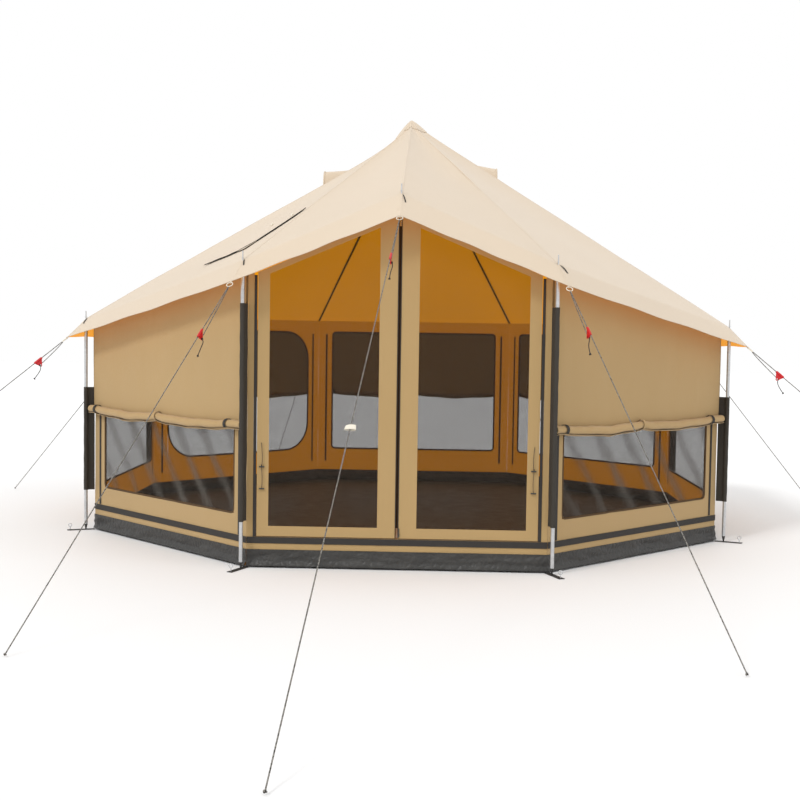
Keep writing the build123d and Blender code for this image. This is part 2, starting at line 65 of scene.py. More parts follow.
# ---- Sizes that the frame was made to ----------------------------------------------------------
HALF_ANGLE = math.radians(22.5)
CORNER_R = 2.5
WALL_IN = CORNER_R * math.cos(HALF_ANGLE)
HALF_WALL = CORNER_R * math.sin(HALF_ANGLE)
WALL_OUT = WALL_IN + 0.004
PEAK_Z = 3.216
POLE_R, TIP_R = 2.57, 2.705
PEAK_HOLE = 0.05
WINDOW_LOW, WINDOW_HIGH, WINDOW_HALF = 0.33, 1.5, 0.816
TUB_Z = 0.114
SILL_Z = 0.197
HINGE_X = 0.896
MESH_OUT, MESH_IN, MESH_LOW = 0.82, 0.125, 0.267
LEAF_FREE_X = 0.012
ROLL_Z, ROLL_D = 0.91, 0.062
ROLL_HALF = HALF_WALL - 0.005
FLAP_AT = WALL_OUT + 0.003
ROLL_AT = FLAP_AT + 0.0035 + ROLL_D / 2
ROPE_D = 0.006
RING_REACH = 0.025

WALLS = {"front_right": -45.0, "right": 0.0, "rear_right": 45.0, "rear": 90.0,
         "rear_left": 135.0, "left": 180.0, "front_left": 225.0}


class Ridge:
    """A line of the roof from the peak over a pole to an eave tip, with the sag of its cloth."""

    def __init__(self, angle, pole_r, pole_z, tip_r, tip_z, sag):
        self.angle, self.pole_r, self.pole_z = math.radians(angle), pole_r, pole_z
        self.tip_r, self.tip_z, self.sag = tip_r, tip_z, sag

    def at(self, radius, height):
        return Vector((radius * math.cos(self.angle), radius * math.sin(self.angle), height))

    def point(self, t):
        """t runs from 0 at the peak to 1 over the pole."""
        drop = self.sag * (1 - t) ** 1.3 * (1 - math.exp(-t / 0.06))
        return self.at(t * self.pole_r, PEAK_Z + (self.pole_z - PEAK_Z) * t - drop)

    def tip(self):
        return self.at(self.tip_r, self.tip_z)


RIDGES = [Ridge(-90, 2.25, 2.39, 2.5, 2.225, 0.03)]
RIDGES += [Ridge(-67.5, POLE_R, 1.948, TIP_R, 1.811, 0.03)]
RIDGES += [Ridge(a, POLE_R, 1.577, TIP_R, 1.44, sag)
           for a, sag in ((-22.5, 0.02), (22.5, 0.04), (67.5, 0.05), (112.5, 0.06), (157.5, 0.09),
                          (202.5, 0.12))]
RIDGES += [Ridge(247.5, POLE_R, 1.948, TIP_R, 1.811, 0.05)]

# Each guy rope: its ridge, and its knot on the ground.
GUYS = {"front": (0, (-0.295, -6.142)), "front_left": (8, (-1.717, -4.557)),
        "front_right": (1, (1.648, -4.608)), "left": (7, (-4.05, -1.85)),
        "right": (2, (4.05, -1.85)), "left_back": (6, (-3.665, 1.19)),
        "right_back": (3, (3.665, 1.19)), "rear_left": (5, (-1.59, 3.84)),
        "rear_right": (4, (1.59, 3.84))}


def polar(radius, degrees, height=0.0):
    a = math.radians(degrees)
    return Vector((radius * math.cos(a), radius * math.sin(a), height))


def smooth(x):
    x = min(1.0, max(0.0, x))
    return x * x * (3 - 2 * x)


def facet(first, second, x, y):
    """Height of the roof's taut facet between two ridges."""
    a, b = first.at(first.pole_r, 0), second.at(second.pole_r, 0)
    da, db = first.pole_z - PEAK_Z, second.pole_z - PEAK_Z
    det = a.x * b.y - b.x * a.y
    return PEAK_Z + ((da * b.y - db * a.y) * x + (a.x * db - b.x * da) * y) / det


def pair_over(degrees):
    """The two ridges on either side of a wall."""
    def near(target):
        return min(RIDGES, key=lambda r: 1 - math.cos(r.angle - math.radians(target)))
    return near(degrees - 22.5), near(degrees + 22.5)


def wall_point(degrees, along, depth, height):
    """A point of a wall: how far along it, how far out from the tent's axis, how high."""
    return polar(depth, degrees) + polar(along, degrees + 90) + Vector((0, 0, height))


def wall_top(degrees, along, depth):
    """Height just under the roof, above a point of a wall."""
    spot = wall_point(degrees, along, depth, 0)
    return facet(*pair_over(degrees), spot.x, spot.y) - 0.008


# ---- Making pieces -----------------------------------------------------------------------------
def deselect():
    bpy.ops.object.select_all(action="DESELECT")


def face_out(mesh, inside):
    """Turn a sheet so that its faces look away from a point inside it."""
    total = sum((p.center - inside).dot(p.normal) * p.area for p in mesh.polygons)
    if total < 0:
        mesh.flip_normals()


def cloth(name, columns, rows, place, materials, thickness=0.0016, inside=(0, 0, 1), close=False):
    """A sheet whose grid is laid by place(u, v), with its thickness grown inwards."""
    deselect()
    bpy.ops.mesh.primitive_grid_add(x_subdivisions=columns, y_subdivisions=rows, size=1)
    obj = bpy.context.object
    obj.name = obj.data.name = name
    for vertex in obj.data.vertices:
        vertex.co = place(vertex.co.x + 0.5, vertex.co.y + 0.5)
    if close:
        bpy.ops.object.mode_set(mode="EDIT")
        bpy.ops.mesh.select_all(action="SELECT")
        bpy.ops.mesh.remove_doubles(threshold=0.0002)
        bpy.ops.object.mode_set(mode="OBJECT")
    face_out(obj.data, Vector(inside))
    for material in materials:
        obj.data.materials.append(material)
    if thickness:
        solid = obj.modifiers.new("Thickness", "SOLIDIFY")
        solid.thickness, solid.offset = thickness, -1
        solid.material_offset = len(materials) - 1
        bpy.ops.object.modifier_apply(modifier="Thickness")
    bpy.ops.object.shade_smooth_by_angle(angle=math.radians(40))
    return obj


def joined(name, pieces):
    """Several meshes made one piece."""
    deselect()
    for piece in pieces:
        piece.select_set(True)
    bpy.context.view_layer.objects.active = pieces[0]
    bpy.ops.object.join()
    pieces[0].name = pieces[0].data.name = name
    return pieces[0]


def patch(name, degrees, low, high, columns, rows, materials, depth=WALL_OUT, slack=0.004):
    """A flat panel of a wall. low and high give (along, height) at its two lower and upper
    corners; slack is how far its cloth eases inwards between its seams."""
    def place(u, v):
        a0, z0 = (low[0][i] + (low[1][i] - low[0][i]) * u for i in (0, 1))
        a1, z1 = (high[0][i] + (high[1][i] - high[0][i]) * u for i in (0, 1))
        along, height = a0 + (a1 - a0) * v, z0 + (z1 - z0) * v
        ease = 0.5 + 0.5 * noise.noise(Vector((along * 5 + degrees, height * 2.2, degrees)))
        fine = 0.5 + 0.5 * noise.noise(Vector((along * 14, height * 9, degrees + 7)))
        return wall_point(degrees, along, depth - slack * (ease + 0.4 * fine), height)
    return cloth(name, columns, rows, place, materials)


def tube(name, points, radius, material, sides=10, closed=False):
    """A cord-like mesh that follows points."""
    curve = bpy.data.curves.new(name, "CURVE")
    curve.dimensions, curve.bevel_depth, curve.bevel_resolution = "3D", radius, sides // 4
    curve.use_fill_caps = True
    spline = curve.splines.new("NURBS")
    spline.points.add(len(points) - 1)
    for slot, point in zip(spline.points, points):
        slot.co = (*point, 1)
    spline.order_u = 3
    spline.use_endpoint_u, spline.use_cyclic_u = not closed, closed
    obj = bpy.data.objects.new(name, curve)
    bpy.context.collection.objects.link(obj)
    deselect()
    obj.select_set(True)
    bpy.context.view_layer.objects.active = obj
    bpy.ops.object.convert(target="MESH")
    obj = bpy.context.object
    obj.data.materials.clear()
    obj.data.materials.append(material)
    return obj


def knot_points(centre, way, size):
    """An overhand knot's line, about a rope's direction."""
    side = Vector((way.y, -way.x, 0.001)).normalized()
    up = way.cross(side)
    points = []
    for i in range(18):
        a = 2 * math.pi * i / 18
        x, y, z = math.sin(a) + 2 * math.sin(2 * a), math.cos(a) - 2 * math.cos(2 * a), -math.sin(3 * a)
        points.append(centre + (side * x + up * y) * size / 3 + way * z * size / 2)
    return points


def sewn(obj, body, nodes=()):
    """Fix a cloth piece to its body and hide the frame's parts that it takes the place of."""
    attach(obj, body)
    tell(nodes)


def tell(nodes=()):
    if nodes:
        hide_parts(*nodes)


# ---- Shader wiring -----------------------------------------------------------------------------
class Wire:
    """A shader socket that takes part in Python arithmetic."""

    def __init__(self, paint, socket):
        self.paint, self.socket = paint, socket

    def math(self, operation, a, b):
        return self.paint.node("ShaderNodeMath", {"operation": operation}, {0: a, 1: b})

    def __add__(self, other):
        return self.math("ADD", self, other)

    def __mul__(self, other):
        return self.math("MULTIPLY", self, other)

    def __gt__(self, other):
        return self.math("GREATER_THAN", self, other)

    __radd__, __rmul__ = __add__, __mul__


class Paint:
    """A material with one Principled shader."""

    def __init__(self, name):
        self.material = bpy.data.materials.new(name)
        self.material.use_nodes = True
        self.tree = self.material.node_tree
        self.shader = self.tree.nodes["Principled BSDF"]
        self.place = self.tree.nodes.new("ShaderNodeTexCoord").outputs["Object"]

    def node(self, kind, settings, inputs, output=0):
        made = self.tree.nodes.new(kind)
        for key, value in settings.items():
            setattr(made, key, value)
        for key, value in inputs.items():
            if isinstance(value, Wire):
                self.tree.links.new(value.socket, made.inputs[key])
            else:
                made.inputs[key].default_value = value
        return Wire(self, made.outputs[output])

    def noise(self, scale, detail=3, stretch=(1, 1, 1)):
        turned = self.node("ShaderNodeMapping", {}, {"Vector": Wire(self, self.place), "Scale": stretch})
        return self.node("ShaderNodeTexNoise", {}, {"Vector": turned, "Scale": scale, "Detail": detail})

    def waves(self, direction, scale):
        return self.node("ShaderNodeTexWave", {"bands_direction": direction},
                         {"Vector": Wire(self, self.place), "Scale": scale, "Distortion": 0.6,
                          "Detail Scale": 3.0})

    def blend(self, factor, first, second):
        mixed = self.tree.nodes.new("ShaderNodeMix")
        mixed.data_type = "RGBA"
        self.tree.links.new(factor.socket, mixed.inputs["Factor"])
        for socket, colour in ((mixed.inputs[6], first), (mixed.inputs[7], second)):
            if isinstance(colour, Wire):
                self.tree.links.new(colour.socket, socket)
            else:
                socket.default_value = (*colour, 1)
        return Wire(self, mixed.outputs[2])

    def set(self, **sockets):
        for key, value in sockets.items():
            socket = self.shader.inputs[key.replace("_", " ")]
            if isinstance(value, Wire):
                self.tree.links.new(value.socket, socket)
            elif hasattr(value, "__len__") and len(value) == 3:
                socket.default_value = (*value, 1)
            else:
                socket.default_value = value
        return self

    def bump(self, height, strength, distance):
        normal = self.node("ShaderNodeBump", {}, {"Height": height, "Strength": strength,
                                                  "Distance": distance})
        self.tree.links.new(normal.socket, self.shader.inputs["Normal"])
        return self


def woven(name, light, dark, glow=None, sheen=0.25, weave=900.0):
    """Cotton canvas: soft stains and slubs over a plain weave, with an optional painted glow that stands in
    for light coming through.
    """
    paint = Paint(name)
    broad, slub = paint.noise(1.3, 4), paint.noise(60.0, 2, (1, 1, 0.15))
    thread = (paint.waves("X", weave) * 0.34 + paint.waves("Y", weave) * 0.33
              + paint.waves("Z", weave) * 0.33)
    tone = broad * 0.7 + slub * 0.2 + thread * 0.1
    paint.set(Base_Color=paint.blend(tone, dark, light), Roughness=0.86 + slub * 0.1,
              Sheen_Weight=sheen, Specular_IOR_Level=0.2)
    # Painted light: the glow is an emission standing in for sunlight shining through the canvas.
    if glow:
        paint.set(Emission_Color=paint.blend(broad, [c * 0.8 for c in glow], glow), Emission_Strength=1.0)
    return paint.bump(thread * 0.5 + slub * 0.35 + paint.noise(14.0, 3) * 0.4, 0.35, 0.002).material


def netting(name, fold_highlight=0.0):
    """Fine insect netting, seen as a dark veil, with slanting streaks of painted highlight where light
    catches the creases of its slack cloth.
    """
    paint = Paint(name)
    thread = paint.waves("X", 700.0) * 0.4 + paint.waves("Z", 700.0) * 0.6
    veil, tone = 0.235 + thread * 0.16, paint.noise(3.0)
    shade, bright = (0.012, 0.009, 0.005), (0.022, 0.016, 0.009)
    # Painted highlight: when set, slanting streaks along the creases are coloured lighter and made more
    # opaque, for light catching the slack net.
    if fold_highlight:
        own = Wire(paint, paint.tree.nodes["Texture Coordinate"].outputs["UV"])
        slant = paint.node("ShaderNodeMapping", {}, {"Vector": own, "Scale": (1.0, 0.55, 1.0)})
        fold = paint.node("ShaderNodeTexWave", {"bands_direction": "DIAGONAL"},
                          {"Vector": slant, "Scale": 3.4, "Distortion": 1.6, "Detail": 2.0,
                           "Detail Scale": 1.4})
        fold = fold * fold * fold * fold * paint.noise(1.6)
        veil, tone, bright = veil + fold * fold_highlight, fold, (0.11, 0.1, 0.085)
    paint.set(Base_Color=paint.blend(tone, shade, bright), Roughness=0.8, Alpha=veil)
    return paint.material


def coated(name):
    """Crinkled dark grey groundsheet fabric."""
    paint = Paint(name)
    crease = paint.node("ShaderNodeTexVoronoi", {"feature": "DISTANCE_TO_EDGE"},
                        {"Vector": Wire(paint, paint.place), "Scale": 26.0})
    broad = paint.noise(9.0, 5)
    paint.set(Base_Color=paint.blend(broad, (0.008, 0.008, 0.008), (0.045, 0.043, 0.039)),
              Roughness=0.3 + broad * 0.35)
    return paint.bump(crease * 0.5 + broad * 0.8, 0.9, 0.016).material


def webbing(name, colour):
    """Black tape with its ribs."""
    paint = Paint(name)
    rib = paint.waves("Z", 320.0) * 0.5 + paint.waves("X", 320.0) * 0.5
    paint.set(Base_Color=paint.blend(rib * 0.6 + paint.noise(20.0) * 0.4,
                                     [c * 0.55 for c in colour], colour),
              Roughness=0.78)
    return paint.bump(rib, 0.5, 0.001).material


def galvanised(name):
    """Zinc-plated steel tube with faint spangle and drawn lines."""
    paint = Paint(name)
    grain, drawn = paint.noise(45.0, 3), paint.noise(90.0, 2, (1, 1, 0.05))
    paint.set(Base_Color=paint.blend(grain, (0.42, 0.43, 0.44), (0.66, 0.67, 0.68)), Metallic=0.9,
              Roughness=0.3 + drawn * 0.22)
    return paint.bump(drawn, 0.15, 0.0005).material


def moulded(name, colour, rough=0.4):
    """Moulded plastic with a fine grain."""
    paint = Paint(name)
    grain = paint.noise(160.0, 2)
    paint.set(Base_Color=paint.blend(grain, [c * 0.85 for c in colour], colour),
              Roughness=rough + grain * 0.12)
    return paint.bump(grain, 0.12, 0.0006).material


def braided(name):
    """Grey guy line with dark flecks."""
    paint = Paint(name)
    fleck = paint.noise(170.0, 1)
    dark = fleck > 0.54
    paint.set(Base_Color=paint.blend(dark, (0.23, 0.215, 0.19), (0.03, 0.026, 0.022)), Roughness=0.7)
    return paint.bump(paint.waves("Z", 260.0), 0.6, 0.001).material


class TentColours(bpy.types.PropertyGroup):
    """Colours that a maker would change."""

    canvas: bpy.props.FloatVectorProperty(name="Canvas", description="Sunlit cotton canvas", size=3,
                                          subtype="COLOR", default=(0.64, 0.53, 0.405))
    wall: bpy.props.FloatVectorProperty(name="Wall", description="Canvas of the walls", size=3,
                                        subtype="COLOR", default=(0.43, 0.29, 0.13))
    # Painted light: the canvas seen from inside is given the amber of the sunlight shining through it, not
    # its own cream colour.
    lining: bpy.props.FloatVectorProperty(name="Painted_glow_inside", description="Canvas seen from inside", size=3,
                                          subtype="COLOR", default=(0.42, 0.2, 0.02))
    runner: bpy.props.FloatVectorProperty(name="Runner", description="Plastic of the rope tensioners",
                                          size=3, subtype="COLOR", default=(0.58, 0.006, 0.012))


class TentSizes(bpy.types.PropertyGroup):
    """Sizes that a maker would change."""

    cloth_thickness: bpy.props.FloatProperty(name="Cloth", description="Thickness of the canvas",
                                             default=0.0016, unit="LENGTH")
    belly: bpy.props.FloatProperty(name="Belly", description="Sag of each roof panel between ridges",
                                   default=0.035, unit="LENGTH")
    scallop: bpy.props.FloatProperty(name="Scallop", description="Sag of a rolled cover between ties",
                                     default=0.033, unit="LENGTH")


MATERIALS = {}


def materials(colours):
    """Every finish of the tent, by name."""
    def darker(colour, share):
        return [c * share for c in colour]
    MATERIALS.update(
        roof=woven("roof_canvas", colours.canvas, darker(colours.canvas, 0.9)),
        wall=woven("wall_canvas", colours.wall, darker(colours.wall, 0.86)),
        # Inside faces: the amber of sunlight through the canvas is painted in as base colour and glow, strong
        # for the roof and a weaker, shaded copy for the walls.
        lining=woven("lining", colours.lining, darker(colours.lining, 0.8), (0.82, 0.315, 0.0)),
        wall_lining=woven("wall_lining", colours.lining, darker(colours.lining, 0.8), (0.37, 0.145, 0.0)),
        # Back of each window cover: the wall colour painted darker for the shade between cover and wall, with
        # a faint painted glow of light coming through.
        cover_lining=woven("cover_lining", darker(colours.wall, 0.5), darker(colours.wall, 0.4),
                           (0.11, 0.055, 0.012)),
        net=netting("insect_net"), window_net=netting("window_net", 0.4), sheet=coated("groundsheet_cloth"),
        tape=webbing("black_tape", (0.035, 0.03, 0.026)),
        sleeve=webbing("sleeve_cloth", (0.04, 0.033, 0.024)),
        steel=galvanised("zinc_steel"), foot=moulded("black_foot", (0.03, 0.03, 0.03)),
        seam_tape=webbing("seam_tape", (0.09, 0.045, 0.01)),
        ring=moulded("cream_ring", (0.78, 0.72, 0.6)), runner=moulded("red_runner", colours.runner, 0.3),
        rope=braided("guy_line"), jack=woven("stove_cloth", (0.3, 0.3, 0.29), (0.2, 0.2, 0.2)))


def dress(node, name):
    """Give a node of the frame its finish."""
    mesh = NODES[node].data
    mesh.materials.clear()
    mesh.materials.append(MATERIALS[name])


# ---- Stage -------------------------------------------------------------------------------------
class TENT_OT_stage(bpy.types.Operator):
    """Camera, soft daylight and a pale floor"""
    bl_idname = "tent.stage"
    bl_label = "Stage"

    def execute(self, context):
        yaw, pitch, roll = (math.radians(a) for a in (1.749, -3.2, 0.831))
        forward = Vector((-math.sin(yaw) * math.cos(pitch), math.cos(yaw) * math.cos(pitch),
                          math.sin(pitch)))
        level = Vector((math.cos(yaw), math.sin(yaw), 0))
        up = level.cross(forward)
        right = math.cos(roll) * level + math.sin(roll) * up
        top = math.cos(roll) * up - math.sin(roll) * level
        data = bpy.data.cameras.new("camera")
        data.lens = 55.31
        camera = bpy.data.objects.new("camera", data)
        camera.matrix_world = Matrix((right, top, -forward)).transposed().to_4x4()
        camera.location = (0.247, -10.063, 1.518)
        context.collection.objects.link(camera)
        context.scene.camera = camera
        bpy.ops.mesh.primitive_plane_add(size=80, location=(0, 0, -0.001))
        floor = context.object
        floor.name = "floor"
        ground = moulded("pale_floor", (0.9, 0.9, 0.9), 0.7)
        floor.data.materials.append(ground)
        world = bpy.data.worlds.new("daylight")
        world.use_nodes = True
        world.node_tree.nodes["Background"].inputs["Color"].default_value = (1, 1, 1, 1)
        world.node_tree.nodes["Background"].inputs["Strength"].default_value = 1.0
        context.scene.world = world
        context.scene.view_settings.view_transform = "Standard"
        for name, angles, power, spread in (("sun", (44, -22, -20), 1.25, 12),
                                            ("fill", (60, 0, 60), 0.25, 40)):
            light = bpy.data.lights.new(name, "SUN")
            light.energy, light.angle = power, math.radians(spread)
            lamp = bpy.data.objects.new(name, light)
            lamp.rotation_euler = [math.radians(a) for a in angles]
            context.collection.objects.link(lamp)
        return {"FINISHED"}


# ---- Roof --------------------------------------------------------------------------------------
POLE_AT = 0.88                         # share of the roof sheet's rows that lies inside the poles
FOLDS = 9


def roof_point(u, v, lift=0.0):
    """A point of the roof's cloth: u goes round the tent, v from the peak to the eave."""
    k = min(8, int(u * 9))
    f = u * 9 - k
    first, second = RIDGES[k], RIDGES[(k + 1) % 9]
    hang = 4 * f * (1 - f)
    sizes = bpy.context.scene.tent_sizes
    if v <= POLE_AT:
        w = v / POLE_AT
        start_a, start_b = PEAK_HOLE / first.pole_r, PEAK_HOLE / second.pole_r
        a, b = first.point(start_a + (1 - start_a) * w), second.point(start_b + (1 - start_b) * w)
        p = a.lerp(b, f)
        belly = sizes.belly * hang * math.sin(math.pi * w ** 0.75)
        pleat = 0.004 * math.exp(-w / 0.09) * math.sin(2 * math.pi * (f * 3 + k * 0.37)) * hang
        pull = (0.009 * smooth((w - 0.72) / 0.28) * math.sin(2 * math.pi * f * FOLDS)
                * hang ** 0.5 * (1 - hang))
        soft = 0.008 * noise.noise(Vector((p.x * 1.7, p.y * 1.7, k * 3.1))) * min(1, w * 4)
        p.z += soft - belly + pleat + pull + lift
        return p
    w = (v - POLE_AT) / (1 - POLE_AT)
    pole = first.point(1).lerp(second.point(1), f)
    tip = first.tip().lerp(second.tip(), f)
    inward = Vector((-tip.x, -tip.y, 0)).normalized()
    p = pole.lerp(tip, w) + inward * 0.012 * hang * w
    flutter = 0.0035 * w * math.sin(2 * math.pi * (f * 3 + k * 0.3)) * hang
    soft = 0.008 * noise.noise(Vector((p.x * 1.7, p.y * 1.7, k * 3.1)))
    p.z += soft * (1 - w) + flutter + lift
    return p


def on_roof(degrees, out, along, lift=0.0):
    """A point of the roof's cloth over a wall: distance out, distance along, height above it."""
    first, _ = pair_over(degrees)
    hole = PEAK_HOLE / POLE_R
    w = (out / (POLE_R * math.cos(HALF_ANGLE)) - hole) / (1 - hole)
    f = 0.5 + along / (2 * out * math.tan(HALF_ANGLE))
    return roof_point((RIDGES.index(first) + f) / 9, POLE_AT * w, lift)


class TENT_OT_roof(bpy.types.Operator):
    """Roof canvas with its felled seams and eave hem"""
    bl_idname = "tent.roof"
    bl_label = "Roof"

    def execute(self, context):
        roof = cloth("roof_cloth", 9 * 22, 96, roof_point, [MATERIALS["roof"], MATERIALS["lining"]],
                     inside=(0, 0, 0), close=True)
        sewn(roof, "root", ["roof_canopy"])
        strips, tapes = [], []
        for k in range(9):
            def ribbon(u, v, at=k / 9, wide=0.009, lift=0.0011, top=0.03, long=0.97):
                row = top + long * v
                gore = (roof_point((at + 0.11) % 1, row) - roof_point(at, row)).length
                return roof_point((at + (u - 0.5) * 2 * wide * 0.11 / gore) % 1, row, lift)

            def inner(u, v, ribbon=ribbon):
                return ribbon(u, v, wide=0.011, lift=-0.0045, top=0.06, long=POLE_AT - 0.08)
            strips.append(cloth(f"seam_{k}", 2, 90, ribbon, [MATERIALS["roof"]], 0.001, inside=(0, 0, 0)))
            tapes.append(cloth(f"tape_{k}", 2, 60, inner, [MATERIALS["seam_tape"]], 0.001,
                               inside=(0, 0, 0)))
        inner_tapes = joined("roof_inner_tapes", tapes)
        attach(inner_tapes, "root")

        def hem(u, v):
            return roof_point(u, 0.975 + 0.0255 * v) + Vector((0, 0, 0.002))
        strips.append(cloth("hem", 9 * 22, 2, hem, [MATERIALS["roof"]], 0.0012, inside=(0, 0, 0)))
        seams = joined("roof_seams", strips)
        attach(seams, "root")
        return {"FINISHED"}


class TENT_OT_peak(bpy.types.Operator):
    """Reinforced cap sewn over the peak"""
    bl_idname = "tent.peak"
    bl_label = "Peak cap"

    def execute(self, context):
        def place(u, v):
            rim = roof_point(u % 1, 0.03)
            share = v ** 0.8
            p = Vector((rim.x * share, rim.y * share,
                        rim.z + (PEAK_Z + 0.004 - rim.z) * (1 - share ** 1.25)))
            p.z += 0.005 + 0.0012 * math.sin(2 * math.pi * u * 27) * share ** 3
            return p
        cap = cloth("peak_cap_cloth", 108, 16, place, [MATERIALS["roof"]], 0.003, (0, 0, 2.5), close=True)
        sewn(cap, "root", ["peak_cap"])
        return {"FINISHED"}


class TENT_OT_hoods(bpy.types.Operator):
    """Two vent hoods with stiff curved mouths"""
    bl_idname = "tent.hoods"
    bl_label = "Vent hoods"

    def execute(self, context):
        parts = []
        for degrees, rise in ((0.0, 0.135), (180.0, 0.15)):
            def place(u, v, degrees=degrees, rise=rise):
                across = (u - 0.5) * 2
                p = on_roof(degrees, 0.42 + 0.27 * v, across * (0.1 + 0.085 * v), -0.003)
                p.z += (0.006 + rise * v ** 1.1) * (1 - abs(across) ** 6)
                return p

            def screen(u, v, place=place):
                high = place(0.06 + 0.88 * u, 0.97)
                low = on_roof(degrees, 0.68, (u - 0.5) * 0.32, 0.003)
                return low.lerp(high, v)
            parts.append(cloth(f"hood_{degrees:.0f}", 40, 16, place,
                               [MATERIALS["roof"], MATERIALS["lining"]],
                               0.003, inside=(0, 0, 2.0)))
            parts.append(cloth(f"hood_net_{degrees:.0f}", 16, 6, screen, [MATERIALS["net"]], 0.001,
                               inside=(0, 0, 2.0)))
            lip = [place(i / 24, 1.0) for i in range(25)]
            parts.append(tube(f"hood_lip_{degrees:.0f}", lip, 0.006, MATERIALS["roof"]))
        hoods = joined("vent_hood_cloth", parts)
        sewn(hoods, "root", ["vent_hoods"])
        return {"FINISHED"}


class TENT_OT_stove(bpy.types.Operator):
    """Stove opening's patch and its rain flap, bound in black"""
    bl_idname = "tent.stove"
    bl_label = "Stove flap"

    def execute(self, context):
        def cover(u, v):
            curl = 0.003 * smooth(u * 4 - 3) + 0.004 * smooth(v * 4 - 3)
            return on_roof(225, 1.6 + 0.52 * v, 0.19 + 0.45 * u, 0.0065 + curl)

        def patch_under(u, v):
            return on_roof(225, 1.68 + 0.36 * v, 0.24 + 0.36 * u, 0.0035)
        jack = cloth("stove_patch", 24, 24, patch_under, [MATERIALS["jack"]], 0.0015, (0, 0, 1))
        sewn(jack, "root", ["stove_jack"])
        flap = cloth("stove_rain_flap", 36, 36, cover, [MATERIALS["roof"]], 0.0018, (0, 0, 1))
        sewn(flap, "stove_cover", ["stove_flap"])
        lower = [cover(i / 20, 1) for i in range(21)]
        side = [cover(1, 1 - i / 20) for i in range(1, 21)]
        edge = tube("stove_flap_binding", lower[:-3] + side[3:], 0.0032, MATERIALS["tape"])
        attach(edge, "stove_cover")
        toggles = [tube(f"toggle_{i}", [cover(u, 0.05) + Vector((0, 0, 0.012)),
                                        cover(u, 0.09) + Vector((0.012, 0, 0.016)),
                                        cover(u, 0.12) + Vector((0.02, 0, 0.012))], 0.006,
                                        MATERIALS["ring"])
                   for i, u in enumerate((0.25, 0.75))]
        toggle = joined("stove_flap_toggles", toggles)
        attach(toggle, "stove_cover")
        return {"FINISHED"}


# ---- Walls -------------------------------------------------------------------------------------
class TENT_OT_walls(bpy.types.Operator):
    """Wall canvas round each window, its netting, zips and base bands"""
    bl_idname = "tent.walls"
    bl_label = "Walls"

    def window_edge(self, degrees, bend):
        """A window's black binding inside, and the canvas that rounds its corners."""
        depth = WALL_IN - 0.004
        centres = [(sx * (WINDOW_HALF - bend), z, sx, sz)
                   for sx, z, sz in ((1, WINDOW_HIGH - bend, 1), (-1, WINDOW_HIGH - bend, 1),
                                     (-1, WINDOW_LOW + bend, -1), (1, WINDOW_LOW + bend, -1))]
        corners, edge = [], []
        for i, (along, z, sx, sz) in enumerate(centres):
            def arc(u, along=along, z=z, i=i):
                turn = math.radians(90 * (i + u))
                return wall_point(degrees, along + bend * math.cos(turn), depth, z + bend * math.sin(turn))

            def fill(u, v, arc=arc, along=along, z=z, sx=sx, sz=sz):
                return wall_point(degrees, along + sx * bend, depth, z + sz * bend).lerp(arc(u), v)
            corners.append(cloth(f"corner_{degrees}_{i}", 12, 6, fill, [MATERIALS["wall_lining"]], 0.0016))
            edge += [arc(j / 6) for j in range(7)]
        return corners, tube(f"edge_{degrees}", edge, 0.008, MATERIALS["seam_tape"], closed=True)

    def inner_trim(self):
        """Bindings round the windows inside, and the zips that show there."""
        corners, trims = [], []
        for name, degrees in WALLS.items():
            fills, edge = self.window_edge(degrees, 0.27 if name == "rear_left" else 0.035)
            corners += fills
            trims.append(edge)
            for along in (-ZIP_OUT, ZIP_OUT):
                def zip_strip(u, v, degrees=degrees, along=along):
                    return wall_point(degrees, along + (u - 0.5) * 0.018, WALL_IN - 0.005, 0.2 + 1.28 * v)
                trims.append(cloth(f"inner_zip_{degrees}_{along}", 2, 24, zip_strip,
                                   [MATERIALS["seam_tape"]], 0.001))
        for piece, slot in ((joined("window_corners", corners), "canvas"),
                            (joined("inner_trim", trims), "webbing")):
            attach(piece, "root")

    def execute(self, context):
        parts, nets = [], []
        skin = [MATERIALS["wall"], MATERIALS["wall_lining"]]
        for name, degrees in WALLS.items():
            edge = HALF_WALL - 0.0005

            def top(along):
                return wall_top(degrees, along, WALL_OUT)
            parts.append(patch(f"low_{name}", degrees, [(-edge, TUB_Z), (edge, TUB_Z)],
                               [(-edge, WINDOW_LOW), (edge, WINDOW_LOW)], 48, 8, skin))
            for side in (-1, 1):
                a, b = sorted((side * WINDOW_HALF, side * edge))
                parts.append(patch(f"side_{name}_{side}", degrees, [(a, WINDOW_LOW), (b, WINDOW_LOW)],
                                   [(a, top(a)), (b, top(b))], 8, 40, skin))
            parts.append(patch(f"top_{name}", degrees,
                               [(-WINDOW_HALF, WINDOW_HIGH), (WINDOW_HALF, WINDOW_HIGH)],
                               [(-WINDOW_HALF, top(-WINDOW_HALF)), (WINDOW_HALF, top(WINDOW_HALF))],
                               40, 12, skin))
            nets.append(patch(f"net_{name}", degrees,
                              [(-WINDOW_HALF, WINDOW_LOW), (WINDOW_HALF, WINDOW_LOW)],
                              [(-WINDOW_HALF, WINDOW_HIGH), (WINDOW_HALF, WINDOW_HIGH)], 40, 30,
                              [MATERIALS["window_net" if "front" in name else "net"]],
                              WALL_OUT - 0.001, 0.008))
        sewn(joined("wall_cloth", parts), "root", ["wall_skirt"])
        self.inner_trim()
        sewn(joined("window_nets", nets), "root", ["window_meshes"])
        dress("zip_tapes", "tape")
        dress("base_bands", "tape")
        return {"FINISHED"}


TIES = (-0.9, -0.04, 0.84)             # where each roll is tied, as a share of its half length


def roll_sag(share):
    """How far a rolled cover droops at a share of its half length, from 0 at a tie to about 1."""
    for low, high in zip(TIES, TIES[1:]):
        if low < share < high:
            s = (share - low) / (high - low)
            return (4 * s * (1 - s)) ** 0.7 * (0.9 + 0.5 * noise.noise(Vector((share * 4.3, 1.7, 0))))
    return 0.0


